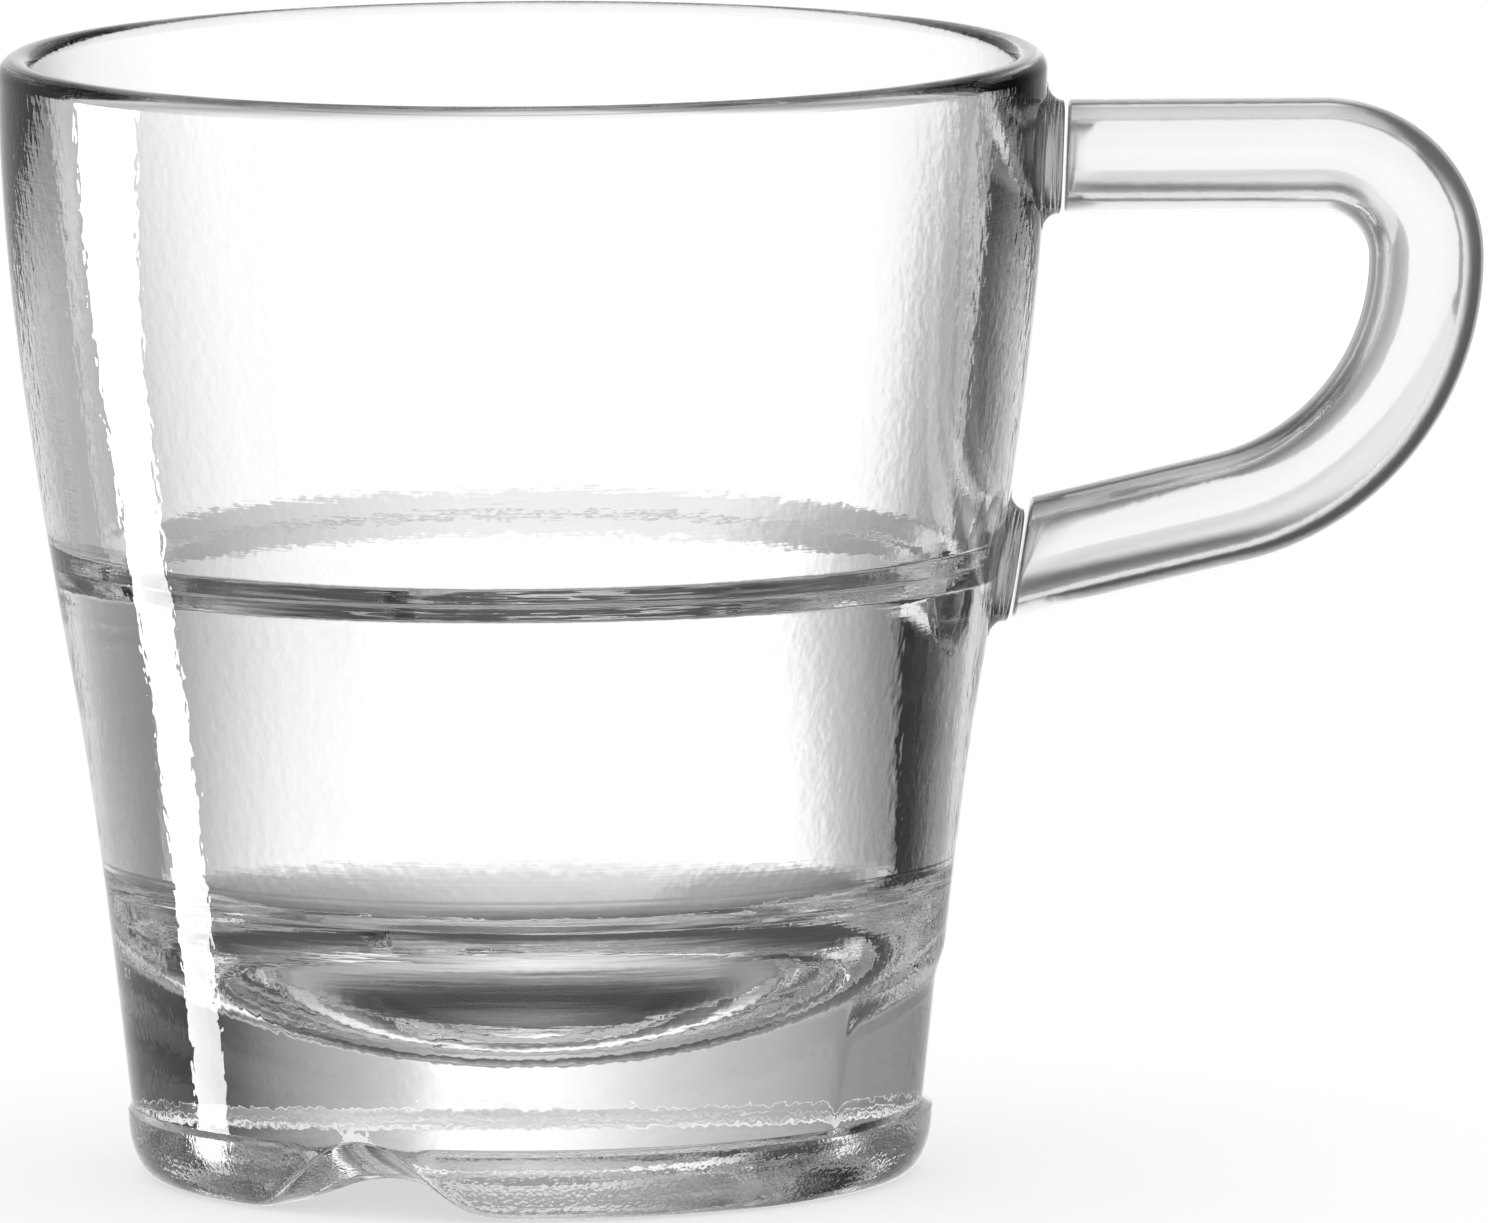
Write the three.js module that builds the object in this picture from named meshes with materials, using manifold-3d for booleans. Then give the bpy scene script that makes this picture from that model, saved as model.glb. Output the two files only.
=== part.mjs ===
// Stackable espresso cup of clear pressed glass with a round bar handle.
// Millimetres, +Z up from the table, handle along +X, origin under the middle of the overall length.
import * as THREE from "three";
import { mergeVertices } from "three/addons/utils/BufferGeometryUtils.js";
import Module from "manifold-3d";

const wasm = await Module();
wasm.setup();

// Cup, outside
const CUP_HEIGHT = 65;
const RIM_RADIUS = 30.3;
const LIP_WIDTH = 2;
const WAIST_HEIGHT = 29; // where the wall leans out most
const WAIST_RADIUS = 26.3;
const WAIST_LEAN = 0.175; // outward run per unit of rise
const BASE_LEAN = 0.11;

// Foot
const FOOT_HEIGHT = 3.9;
const FOOT_RADIUS = 23.4;
const FOOT_RIDGE = 0.14; // how far the top edge of the foot stands proud of the wall
const FOOT_ROUNDING = 1.9; // how far the foot draws in towards the table
const FOOT_RING_WIDTH = 3;
const HOLLOW_DEPTH = 3.4; // under the base, inside the foot ring
const HOLLOW_ROUNDING = 2.4;

// Wave-shaped notches through the foot ring, one on each side of the handle plane
const NOTCH_ANGLE = 115; // degrees from the handle
const NOTCH_WIDTH = 18;
const NOTCH_HEIGHT = 4.5;

// Shallow arched panel in the wall below the handle
const PANEL_WIDTH = 31;
const PANEL_TOP = 13.4;
const PANEL_SIDE = 11.4;
const PANEL_DEPTH = 0.35;

// Cup, inside
const STACK_CLEARANCE = 1.1; // between the foot of an upper cup and the wall it stands in
const LEDGE_HEIGHT = 36;
const LEDGE_WIDTH = 2.9;
const LEDGE_UPPER_SLOPE = 1.1; // bevel between the ledge and the wall above it
const LEDGE_LOWER_SLOPE = 1; // bevel between the ledge and the well
const WELL_DRAFT = 0.5; // how far the well draws in from the ledge down to the floor
const FLOOR_HEIGHT = 7.9; // lowest point of the dished floor
const FLOOR_DISH_RADIUS = 28;
const FLOOR_ROUNDING = 3;

// Handle
const BAR_DIAMETER = 6.6;
const HANDLE_REACH = 55.4; // from the cup axis to the outermost point
const UPPER_BAR_DROP = 6.2; // from the rim down to the middle of the bar
const UPPER_BEND_RADIUS = 5.9;
const LOWER_ROOT_HEIGHT = 35.2;
const LOWER_LEG_RISE = 13; // degrees, upwards and away from the cup

// Collars between the wall and the ends of the bar
const COLLAR_HEIGHT = 0.95;
const COLLAR_FLARE = 1.05;
const COLLAR_SINK = 0.5; // below the highest point of the wall
const FUSE_GAP = 0.3;

// Fineness of the faceted surfaces
const CUP_SIDES = 60;
const BAR_SIDES = 20;
const BAR_STEPS = 40;
const FACET_LENGTH = 3;
const FACETS_PER_CURVE = 4;

// Values that follow from the sizes above
const FOOT_CONTACT_RADIUS = FOOT_RADIUS - FOOT_ROUNDING;
const HOLLOW_RADIUS = FOOT_CONTACT_RADIUS - FOOT_RING_WIDTH;
const LIP_RADIUS = LIP_WIDTH / 2;
const LIP_BASE = CUP_HEIGHT - LIP_RADIUS;
const WALL_BASE = new THREE.Vector2(FOOT_RADIUS - FOOT_RIDGE, FOOT_HEIGHT + FOOT_RIDGE);
const LEDGE_RADIUS = FOOT_RADIUS + STACK_CLEARANCE;
const WELL_RADIUS = LEDGE_RADIUS - LEDGE_WIDTH;
const FLOOR_RADIUS = WELL_RADIUS - WELL_DRAFT;
const BAR_RADIUS = BAR_DIAMETER / 2;
const UPPER_BAR_HEIGHT = CUP_HEIGHT - UPPER_BAR_DROP;
const COLLAR_RADIUS = BAR_RADIUS + COLLAR_FLARE;
const CUP_AXIS_X = (RIM_RADIUS - HANDLE_REACH) / 2;
const REACH_PAST = 10; // how far cutting bodies run past what they cut
const RIGHT_ANGLE = Math.PI / 2;

// Conversions between surfaces and solids

function toSolid(geometry) {
  geometry.deleteAttribute("normal");
  geometry.deleteAttribute("uv");
  const merged = mergeVertices(geometry, 1e-4);
  const index = merged.index.array;
  const triangles = [];
  for (let i = 0; i < index.length; i += 3) {
    const [a, b, c] = index.slice(i, i + 3);
    const collapsed = a === b || b === c || c === a;
    if (!collapsed) triangles.push(a, b, c);
  }
  const surface = new wasm.Mesh({
    numProp: 3,
    vertProperties: merged.attributes.position.array,
    triVerts: Uint32Array.from(triangles),
  });
  return new wasm.Manifold(surface);
}

function toGeometry(solid) {
  const surface = solid.getMesh();
  const geometry = new THREE.BufferGeometry();
  const position = new THREE.BufferAttribute(Float32Array.from(surface.vertProperties), 3);
  geometry.setAttribute("position", position);
  geometry.setIndex(new THREE.BufferAttribute(Uint32Array.from(surface.triVerts), 1));
  return geometry;
}

// Corners of a profile made of lines, arcs and curves, finer where it bends

function corners(path) {
  const points = [path.curves[0].getPoint(0)];
  for (const curve of path.curves) {
    const bends = Math.max(FACETS_PER_CURVE, Math.ceil(curve.getLength() / FACET_LENGTH));
    const steps = curve.isLineCurve ? 1 : bends;
    points.push(...curve.getPoints(steps).slice(1));
  }
  return points;
}

function turned(path, sides) {
  const geometry = new THREE.LatheGeometry(corners(path), sides);
  geometry.rotateX(RIGHT_ANGLE);
  return geometry;
}

function cylinder(radius, bottom, top, sides) {
  const path = new THREE.Path();
  path.moveTo(0, bottom);
  path.lineTo(radius, bottom);
  path.lineTo(radius, top);
  path.lineTo(0, top);
  return turned(path, sides);
}

// Outer wall of the cup

const lowerThird = (WAIST_HEIGHT - WALL_BASE.y) / 3;
const upperThird = (LIP_BASE - WAIST_HEIGHT) / 3;
const lowerWall = new THREE.CubicBezierCurve(
  WALL_BASE,
  new THREE.Vector2(WALL_BASE.x + BASE_LEAN * lowerThird, WALL_BASE.y + lowerThird),
  new THREE.Vector2(WAIST_RADIUS - WAIST_LEAN * lowerThird, WAIST_HEIGHT - lowerThird),
  new THREE.Vector2(WAIST_RADIUS, WAIST_HEIGHT),
);
const upperWall = new THREE.CubicBezierCurve(
  new THREE.Vector2(WAIST_RADIUS, WAIST_HEIGHT),
  new THREE.Vector2(WAIST_RADIUS + WAIST_LEAN * upperThird, WAIST_HEIGHT + upperThird),
  new THREE.Vector2(RIM_RADIUS, LIP_BASE - upperThird),
  new THREE.Vector2(RIM_RADIUS, LIP_BASE),
);

function wallAt(height) {
  const curve = height < WAIST_HEIGHT ? lowerWall : upperWall;
  let low = 0;
  let high = 1;
  for (let halving = 0; halving < 40; halving += 1) {
    const middle = (low + high) / 2;
    const below = curve.getPoint(middle).y < height;
    low = below ? middle : low;
    high = below ? high : middle;
  }
  const tangent = curve.getTangent(low);
  return { radius: curve.getPoint(low).x, lean: Math.atan2(tangent.x, tangent.y) };
}

function addWall(path) {
  path.lineTo(WALL_BASE.x, WALL_BASE.y);
  path.curves.push(lowerWall, upperWall);
  path.currentPoint.copy(upperWall.v3);
}

// Cup body

function addFloor(path) {
  const hub = FLOOR_HEIGHT + FLOOR_DISH_RADIUS;
  const corner = FLOOR_RADIUS - FLOOR_ROUNDING;
  const drop = Math.sqrt((FLOOR_DISH_RADIUS - FLOOR_ROUNDING) ** 2 - corner ** 2);
  const meeting = -Math.atan2(drop, corner);
  path.lineTo(FLOOR_RADIUS, hub - drop);
  path.absarc(corner, hub - drop, FLOOR_ROUNDING, 0, meeting, true);
  path.absarc(0, hub, FLOOR_DISH_RADIUS, meeting, -RIGHT_ANGLE, true);
}

function bodyProfile() {
  const path = new THREE.Path();
  path.moveTo(0, HOLLOW_DEPTH);
  path.lineTo(HOLLOW_RADIUS - HOLLOW_ROUNDING, HOLLOW_DEPTH);
  path.absellipse(HOLLOW_RADIUS - HOLLOW_ROUNDING, 0, HOLLOW_ROUNDING, HOLLOW_DEPTH, RIGHT_ANGLE, 0, true);
  path.lineTo(FOOT_CONTACT_RADIUS, 0);
  path.absellipse(FOOT_CONTACT_RADIUS, FOOT_HEIGHT, FOOT_ROUNDING, FOOT_HEIGHT, -RIGHT_ANGLE, 0, false);
  addWall(path);
  path.absarc(RIM_RADIUS - LIP_RADIUS, LIP_BASE, LIP_RADIUS, 0, Math.PI, false);
  path.lineTo(LEDGE_RADIUS, LEDGE_HEIGHT + LEDGE_UPPER_SLOPE);
  path.lineTo(LEDGE_RADIUS - LEDGE_UPPER_SLOPE, LEDGE_HEIGHT);
  path.lineTo(WELL_RADIUS + LEDGE_LOWER_SLOPE, LEDGE_HEIGHT);
  path.lineTo(WELL_RADIUS, LEDGE_HEIGHT - LEDGE_LOWER_SLOPE);
  addFloor(path);
  return path;
}

function notch(angle) {
  const half = NOTCH_WIDTH / 2;
  const below = -FUSE_GAP; // the wave starts under the table so that it meets the foot at a clear angle
  const wave = new THREE.Shape();
  wave.moveTo(-half, below - REACH_PAST);
  wave.lineTo(half, below - REACH_PAST);
  wave.lineTo(half, below);
  wave.bezierCurveTo(half / 2, below, half / 2, NOTCH_HEIGHT, 0, NOTCH_HEIGHT);
  wave.bezierCurveTo(-half / 2, NOTCH_HEIGHT, -half / 2, below, -half, below);
  const inside = HOLLOW_RADIUS - HOLLOW_ROUNDING;
  const options = { depth: RIM_RADIUS - inside, bevelEnabled: false, curveSegments: 2 * FACETS_PER_CURVE };
  const geometry = new THREE.ExtrudeGeometry(wave, options);
  geometry.translate(0, 0, inside);
  const outward = new THREE.Vector3(Math.cos(angle), Math.sin(angle), 0);
  const up = new THREE.Vector3(0, 0, 1);
  const along = new THREE.Vector3().crossVectors(up, outward);
  geometry.applyMatrix4(new THREE.Matrix4().makeBasis(along, up, outward));
  return toSolid(geometry);
}

function panel() {
  const half = PANEL_WIDTH / 2;
  const rise = PANEL_TOP - PANEL_SIDE;
  const arch = new THREE.Shape();
  arch.moveTo(-half, WALL_BASE.y);
  arch.lineTo(half, WALL_BASE.y);
  arch.lineTo(half, PANEL_SIDE);
  arch.quadraticCurveTo(0, PANEL_TOP + rise, -half, PANEL_SIDE);
  const options = { depth: RIM_RADIUS, bevelEnabled: false, curveSegments: 2 * FACETS_PER_CURVE };
  const geometry = new THREE.ExtrudeGeometry(arch, options);
  const across = new THREE.Vector3(0, 1, 0);
  const up = new THREE.Vector3(0, 0, 1);
  const outward = new THREE.Vector3(1, 0, 0);
  geometry.applyMatrix4(new THREE.Matrix4().makeBasis(across, up, outward));
  const kept = new THREE.Path();
  kept.moveTo(0, WALL_BASE.y - REACH_PAST);
  kept.lineTo(WALL_BASE.x, WALL_BASE.y - REACH_PAST);
  addWall(kept);
  kept.lineTo(0, LIP_BASE);
  const shrink = (RIM_RADIUS - PANEL_DEPTH) / RIM_RADIUS;
  const inner = turned(kept, CUP_SIDES).scale(shrink, shrink, 1);
  return toSolid(geometry).subtract(toSolid(inner));
}

// Roots of the handle: a frame on the wall with local Z along the outward normal

function rootFrame(height) {
  const { radius, lean } = wallAt(height);
  const outward = new THREE.Vector3(Math.cos(lean), 0, -Math.sin(lean));
  const across = new THREE.Vector3(0, 1, 0);
  const up = new THREE.Vector3().crossVectors(outward, across);
  const frame = new THREE.Matrix4().makeBasis(across, up, outward);
  return frame.setPosition(radius, 0, height);
}

const upperRoot = rootFrame(UPPER_BAR_HEIGHT);
const lowerRoot = rootFrame(LOWER_ROOT_HEIGHT);

function seat(root) {
  const bottom = -COLLAR_SINK - FUSE_GAP;
  return toSolid(cylinder(COLLAR_RADIUS + FUSE_GAP, bottom, REACH_PAST, BAR_SIDES).applyMatrix4(root));
}

function collar(root) {
  const path = new THREE.Path();
  path.moveTo(0, -COLLAR_SINK);
  path.lineTo(COLLAR_RADIUS, -COLLAR_SINK);
  path.lineTo(COLLAR_RADIUS, 0);
  path.absellipse(COLLAR_RADIUS, COLLAR_HEIGHT, COLLAR_FLARE, COLLAR_HEIGHT, -RIGHT_ANGLE, -Math.PI, true);
  path.lineTo(0, COLLAR_HEIGHT);
  return toSolid(turned(path, BAR_SIDES).applyMatrix4(root));
}

// Handle bar: two straight legs and two bends in the upright plane through the axis

class UprightLine extends THREE.Curve {
  constructor(path) {
    super();
    this.path = path;
  }

  getPoint(t, target = new THREE.Vector3()) {
    const point = this.path.getPoint(t);
    return target.set(point.x, 0, point.y);
  }
}

function barLine() {
  const rise = THREE.MathUtils.degToRad(LOWER_LEG_RISE);
  const outermost = HANDLE_REACH - BAR_RADIUS;
  const bendHeight = UPPER_BAR_HEIGHT - UPPER_BEND_RADIUS;
  const upperStart = wallAt(UPPER_BAR_HEIGHT).radius;
  const lowerEnd = wallAt(LOWER_ROOT_HEIGHT).radius;
  const drop = (bendHeight - LOWER_ROOT_HEIGHT) * Math.cos(rise);
  const setIn = (outermost - lowerEnd) * Math.sin(rise);
  const lowerBendRadius = (drop - setIn) / (1 - Math.sin(rise)); // tangent to the lower leg
  const path = new THREE.Path();
  path.moveTo(upperStart, UPPER_BAR_HEIGHT);
  path.lineTo(outermost - UPPER_BEND_RADIUS, UPPER_BAR_HEIGHT);
  path.absarc(outermost - UPPER_BEND_RADIUS, bendHeight, UPPER_BEND_RADIUS, RIGHT_ANGLE, 0, true);
  path.absarc(outermost - lowerBendRadius, bendHeight, lowerBendRadius, 0, rise - RIGHT_ANGLE, true);
  path.lineTo(lowerEnd - LIP_WIDTH, LOWER_ROOT_HEIGHT - LIP_WIDTH * Math.tan(rise));
  return new UprightLine(path);
}

function handleBar() {
  const section = new THREE.Shape();
  section.absarc(0, 0, BAR_RADIUS, 0, 2 * Math.PI, false);
  const options = { steps: BAR_STEPS, extrudePath: barLine(), curveSegments: BAR_SIDES / 2 };
  let bar = toSolid(new THREE.ExtrudeGeometry(section, options));
  for (const root of [upperRoot, lowerRoot]) {
    const trim = cylinder(REACH_PAST, -REACH_PAST, COLLAR_HEIGHT + FUSE_GAP, BAR_SIDES);
    bar = bar.subtract(toSolid(trim.applyMatrix4(root)));
  }
  return bar;
}

function cupBody() {
  const angle = THREE.MathUtils.degToRad(NOTCH_ANGLE);
  const cuts = [seat(upperRoot), seat(lowerRoot), notch(angle), notch(-angle), panel()];
  const blank = toSolid(turned(bodyProfile(), CUP_SIDES));
  return cuts.reduce((body, cut) => body.subtract(cut), blank);
}

// Named pieces, each in clear glass

function piece(name, solid, colour) {
  const geometry = toGeometry(solid).translate(CUP_AXIS_X, 0, 0);
  geometry.computeVertexNormals();
  const glass = new THREE.MeshStandardMaterial({ color: colour, roughness: 0.05, metalness: 0 });
  const mesh = new THREE.Mesh(geometry, glass);
  mesh.name = name;
  return mesh;
}

const cup = new THREE.Group();
cup.name = "espresso_cup";
cup.add(piece("cup_body", cupBody(), 0xe6eceb));
cup.add(piece("handle_bar", handleBar(), 0xe9eeee));
cup.add(piece("upper_handle_collar", collar(upperRoot), 0xdfe6e5));
cup.add(piece("lower_handle_collar", collar(lowerRoot), 0xdfe6e5));

export default cup;
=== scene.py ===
"""Espresso cup of clear pressed glass: fine glass pieces over the solids, a studio stage and the camera."""

import math

import bpy
from mathutils import Matrix, Vector


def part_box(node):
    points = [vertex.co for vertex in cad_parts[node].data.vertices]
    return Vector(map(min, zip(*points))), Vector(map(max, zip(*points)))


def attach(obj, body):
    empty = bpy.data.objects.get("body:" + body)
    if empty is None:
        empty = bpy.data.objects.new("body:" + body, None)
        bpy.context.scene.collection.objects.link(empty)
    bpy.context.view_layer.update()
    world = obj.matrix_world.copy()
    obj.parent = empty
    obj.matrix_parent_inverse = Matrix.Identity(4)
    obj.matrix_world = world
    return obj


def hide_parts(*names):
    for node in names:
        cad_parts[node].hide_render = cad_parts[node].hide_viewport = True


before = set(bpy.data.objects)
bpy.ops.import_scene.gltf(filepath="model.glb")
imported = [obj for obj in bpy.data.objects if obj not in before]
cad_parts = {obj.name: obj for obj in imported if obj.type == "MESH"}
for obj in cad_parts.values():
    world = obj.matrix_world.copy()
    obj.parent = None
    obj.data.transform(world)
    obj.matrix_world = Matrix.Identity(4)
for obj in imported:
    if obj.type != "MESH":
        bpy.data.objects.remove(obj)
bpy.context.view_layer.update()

MM = 0.001
DEGREE = math.radians(1)

# Sizes that the solids give
body_low, body_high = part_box("cup_body")
bar_low, bar_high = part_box("handle_bar")
AXIS_X = (body_low.x + body_high.x) / 2
CUP_HEIGHT = body_high.z
RIM_RADIUS = (body_high.x - body_low.x) / 2
BAR_RADIUS = (bar_high.y - bar_low.y) / 2
HANDLE_REACH = bar_high.x - AXIS_X
UPPER_BAR_HEIGHT = bar_high.z - BAR_RADIUS

# Cup, outside
LIP_RADIUS = 1.0 * MM
LIP_BASE = CUP_HEIGHT - LIP_RADIUS
WAIST_HEIGHT = 29.0 * MM  # where the wall leans out most
WAIST_RADIUS = 26.3 * MM
WAIST_LEAN = 0.175  # outward run per unit of rise
BASE_LEAN = 0.11

# Foot ring and the hollow under the base
FOOT_HEIGHT = 3.9 * MM
FOOT_RADIUS = 23.4 * MM
FOOT_RIDGE = 0.3 * MM  # how far the top edge of the foot stands proud of the wall
BACK_RIDGE_SHARE = 0.12  # of the ridge that is left at the back
FRONT_FADE = 0.3  # sine of the angle over which the ridge fades
FOOT_ROUNDING = 1.9 * MM
FOOT_RING_WIDTH = 3.0 * MM
FOOT_CONTACT_RADIUS = FOOT_RADIUS - FOOT_ROUNDING
HOLLOW_RADIUS = FOOT_CONTACT_RADIUS - FOOT_RING_WIDTH
HOLLOW_DEPTH = 3.4 * MM
HOLLOW_ROUNDING = 2.4 * MM
HOLLOW_EDGE = 0.4 * MM
WALL_BASE = Vector((FOOT_RADIUS - FOOT_RIDGE, FOOT_HEIGHT + FOOT_RIDGE))

# Wave-shaped notches through the foot ring
NOTCH_ANGLES = (115 * DEGREE, -115 * DEGREE)
NOTCH_SECTOR = 45 * DEGREE  # no notch is felt further from its middle than this
NOTCH_HALF_WIDTH = 9.3 * MM
NOTCH_HEIGHT = 4.5 * MM
NOTCH_EDGE = 0.8 * MM
NOTCH_DRAFT = 0.5  # share of the height that is lost from the outside of the ring to its inside
PAD_GAP_HALF = 4.7 * MM
PAD_EDGE = 0.4 * MM

# Shallow arched panel in the wall below the handle
PANEL_HALF_WIDTH = 15.5 * MM
PANEL_TOP = 13.4 * MM
PANEL_SIDE = 11.4 * MM
PANEL_DEPTH = 0.35 * MM
PANEL_EDGE = 1.2 * MM

# Cup, inside
STACK_CLEARANCE = 1.1 * MM
LEDGE_RADIUS = FOOT_RADIUS + STACK_CLEARANCE
LEDGE_HEIGHT = 36.0 * MM
LEDGE_WIDTH = 2.9 * MM
LEDGE_UPPER_SLOPE = 1.1 * MM
LEDGE_LOWER_SLOPE = 1.0 * MM
LEDGE_ROUNDING = 0.3 * MM
WELL_RADIUS = LEDGE_RADIUS - LEDGE_WIDTH
WELL_DRAFT = 0.5 * MM
FLOOR_RADIUS = WELL_RADIUS - WELL_DRAFT
FLOOR_HEIGHT = 7.9 * MM
BOWL_RADIUS = 28.0 * MM
FLOOR_ROUNDING = 3.0 * MM

# Handle
UPPER_BEND_RADIUS = 5.9 * MM
LOWER_ROOT_HEIGHT = 35.2 * MM
LOWER_LEG_RISE = 13 * DEGREE
COLLAR_HEIGHT = 0.95 * MM
COLLAR_FLARE = 1.05 * MM
COLLAR_RADIUS = BAR_RADIUS + COLLAR_FLARE
SEAM_GAP = 0.2 * MM
WALL_GAP = 0.03 * MM
BAR_END_ROUNDING = 0.2 * MM
BAR_END_STEPS = ((1, 0), (0.3, 0.3), (0, 1))  # shares of the rounding: inwards, along the bar
BAR_ROOT_LENGTH = 2.5 * MM  # from the wall, where the bar has no rings but those of its end
MOULD_SEAM_HEIGHT = 0.05 * MM

# Fineness
CUP_SIDES = 288
BAR_SIDES = 72
LINE_STEP = 1.0 * MM
FINE_STEP = 0.4 * MM
RIDGE_STEPS = (0.06 * MM, 0.15 * MM)  # rings above the base of the wall
CORNER_STEPS = 6
EDGE_STEPS = 5
HOLLOW_STEPS = 12
FOOT_STEPS = 20
LIP_STEPS = 18
FLOOR_CORNER_STEPS = 12
BOWL_STEPS = 28
UPPER_BEND_STEPS = 36
LOWER_BEND_STEPS = 48
FLARE_STEPS = 10
COLLAR_BASE_STEPS = 5
HALVINGS = 40
SETTLING_ROUNDS = 12
SAME_SPOT = 1e-6

# Glass
GLASS_IOR = 1.5
GLASS_COLOUR = (0.82, 0.85, 0.84, 1)
CUP_ABSORPTION = 6.0
HANDLE_ABSORPTION = 4.0
HANDLE_CLEARNESS = 0.88
HANDLE_ROUGHNESS = 0.14
# Grey of the collars' base colour: painted shade that darkens them into rings at the handle's roots
COLLAR_PAINTED_SHADE_GREY = 0.4

# Unevenness of the glass surface, as (zone, height, noise scale, stretch along X, Y and Z, detail)
UNEVENNESS = [
    ("outer_wall", 0.005 * MM, 420, (1, 1, 0.22), 2),  # upright mould ripple
    ("outer_wall", 0.013 * MM, 1500, (1, 1, 0.7), 1),  # fine peel
    ("inner_wall", 0.0025 * MM, 5000, (0.03, 0.03, 1), 2),  # level streaks
    ("pressed_edge", 0.02 * MM, 1500, (0.06, 0.06, 1), 2),  # level chill marks
    ("foot_ring", 0.012 * MM, 4500, (1, 1, 1), 0),  # grain
]
NOISE_ROUGHNESS = 0.55
# Strength of the chill marks by zone of the body
CHILL_SHARE = {"foot": 1.0, "hollow": 0.3, "ledge": 2.0, "floor": 1.6}

# Surroundings as the glass sees them, as (degrees, brightness): sideways from straight behind the cup,
# positive to the handle's side
SIDE_LIGHT = [
    (-180, 1.0), (-104, 1.0), (-90, 0.75), (-78, 0.36), (-68, 0.26), (-45, 0.29), (-33, 0.37), (-22, 0.50),
    (-14, 0.66), (-11, 0.76), (-7, 0.93), (-3, 1.08), (8, 1.1), (12, 0.64), (16, 0.50), (22, 0.36),
    (33, 0.10), (42, 0.03), (68, 0.03), (78, 0.15), (90, 0.7), (104, 1.0), (180, 1.0),
]

# The same for light that came straight through thin walls: the middle is kept, the sides are bright
ONE_WALL = 2  # glass surfaces that light crosses in a wall or a bar
TWO_WALLS = 4
CLEAR_MIDDLE = 24
CLEAR_SIDE = 36
CLEAR_SIDE_LIGHT = [
    (-180, 1.0),
    (-CLEAR_SIDE, 1.0),
    *(stop for stop in SIDE_LIGHT if abs(stop[0]) < CLEAR_MIDDLE),
    (CLEAR_SIDE, 1.0),
    (180, 1.0),
]

# Upwards from the horizon, as (degrees, brightness): a share of the light sideways, then light overhead
LEVEL_LIGHT = [
    (-90, 0.8), (-45, 0.9), (-25, 1.0), (12, 1.0), (30, 0.28), (40, 0.1), (43, 0.1), (45, 0.65), (52, 0.65),
    (56, 0.1), (90, 0.1),
]
OVERHEAD_LIGHT = [(-90, 0.0), (50, 0.0), (60, 0.4), (90, 0.6)]

# The table as the glass sees it, as (millimetres from the axis, brightness): painted light gathered inside
# the foot ring, a painted contact shadow round it
TABLE_LIGHT = [
    (0, 0.22), (5, 0.14), (8, 0.02), (10, 0.04), (12, 0.13), (13.5, 0.40), (15, 0.85), (16.5, 1.0),
    (18, 0.75), (19.2, 0.25), (20.3, 0.07), (21.2, 0.06), (24, 0.14), (39, 0.42), (55, 0.60), (78, 0.72),
    (97, 0.82), (113, 0.88), (150, 0.95), (200, 1.0),
]
# Painted shade of the table sideways near the foot, as (degrees, brightness)
FOOT_SIDE_LIGHT = [
    (-180, 0.9), (-150, 0.3), (-110, 0.1), (-35, 0.1), (-5, 1.0), (8, 1.0), (35, 0.1), (110, 0.05),
    (150, 0.4), (180, 0.9),
]

# How far the light sideways, the light sideways near the foot, and the light straight through thin walls
# show in the table's painted light and shade, as (millimetres from the axis, share)
TABLE_SIDE_SHARE = [(0, 0), (28, 0), (50, 0.9), (70, 1.0), (110, 1.0), (150, 0.8), (200, 0.6)]
FOOT_SIDE_SHARE = [(0, 0), (8, 0.2), (18, 0.45), (21, 0.3), (40, 0), (200, 0)]
CLEAR_TABLE_SHARE = [(0, 0), (60, 0), (85, 1), (200, 1)]
ONE_WALL_SHADE = 0.25  # share of the table's shade that shows through one wall

# Upright lamp on the left, a white card behind the handle, and the floor
STRIP_STRENGTH = 12.0
STRIP_DISTANCE = 400.0 * MM
STRIP_LOW = -200.0 * MM
STRIP_HIGH = 60.0 * MM
STRIP_LOW_EDGES = (-78.6, -70.8)  # degrees, as the light sideways
STRIP_HIGH_EDGES = (-91, -67.3)
STRIP_FADE = [(-200, 0.35), (-150, 0.45), (-125, 1.0), (60, 1.0)]
CARD_STRENGTH = 1.1
CARD_BEHIND = 80.0 * MM
CARD_SIDES = (12.0 * MM, 150.0 * MM)
CARD_LEVELS = (25.0 * MM, 180.0 * MM)
FLOOR_GREY = 0.5
FLOOR_LIFT = 0.55
FLOOR_LEVEL = -0.05 * MM
FLOOR_REACH = 3000.0 * MM
TABLE_REACH = 200.0 * MM

# Camera, from the photo's perspective
CAMERA_DISTANCE = 2028 * MM
CAMERA_RISE = 6.87 * DEGREE
CAMERA_ROLL = 0.39 * DEGREE
CAMERA_TARGET = Vector((0, 0, 32.45 * MM))
FRAME_WIDTH = 86.0 * MM
SENSOR_WIDTH = 36.0

# How often light is followed through or off the glass
MAX_BOUNCES = 24
GLOSSY_BOUNCES = 16


# Curves in the profile plane, as (radius, height)


def arc(centre, radii, start, end, steps):
    angles = [math.radians(start + (end - start) * i / steps) for i in range(steps + 1)]
    return [(centre[0] + radii[0] * math.cos(a), centre[1] + radii[1] * math.sin(a)) for a in angles]


def line(start, end):
    length = math.dist(start, end)
    steps = max(2, math.ceil(length / LINE_STEP))
    return [tuple(a + (b - a) * i / steps for a, b in zip(start, end)) for i in range(steps + 1)]


def bezier(p0, p1, p2, p3, t):
    s = 1 - t
    weights = (s**3, 3 * s * s * t, 3 * s * t * t, t**3)
    return sum((p * w for p, w in zip((p0, p1, p2, p3), weights)), Vector((0, 0)))


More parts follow.
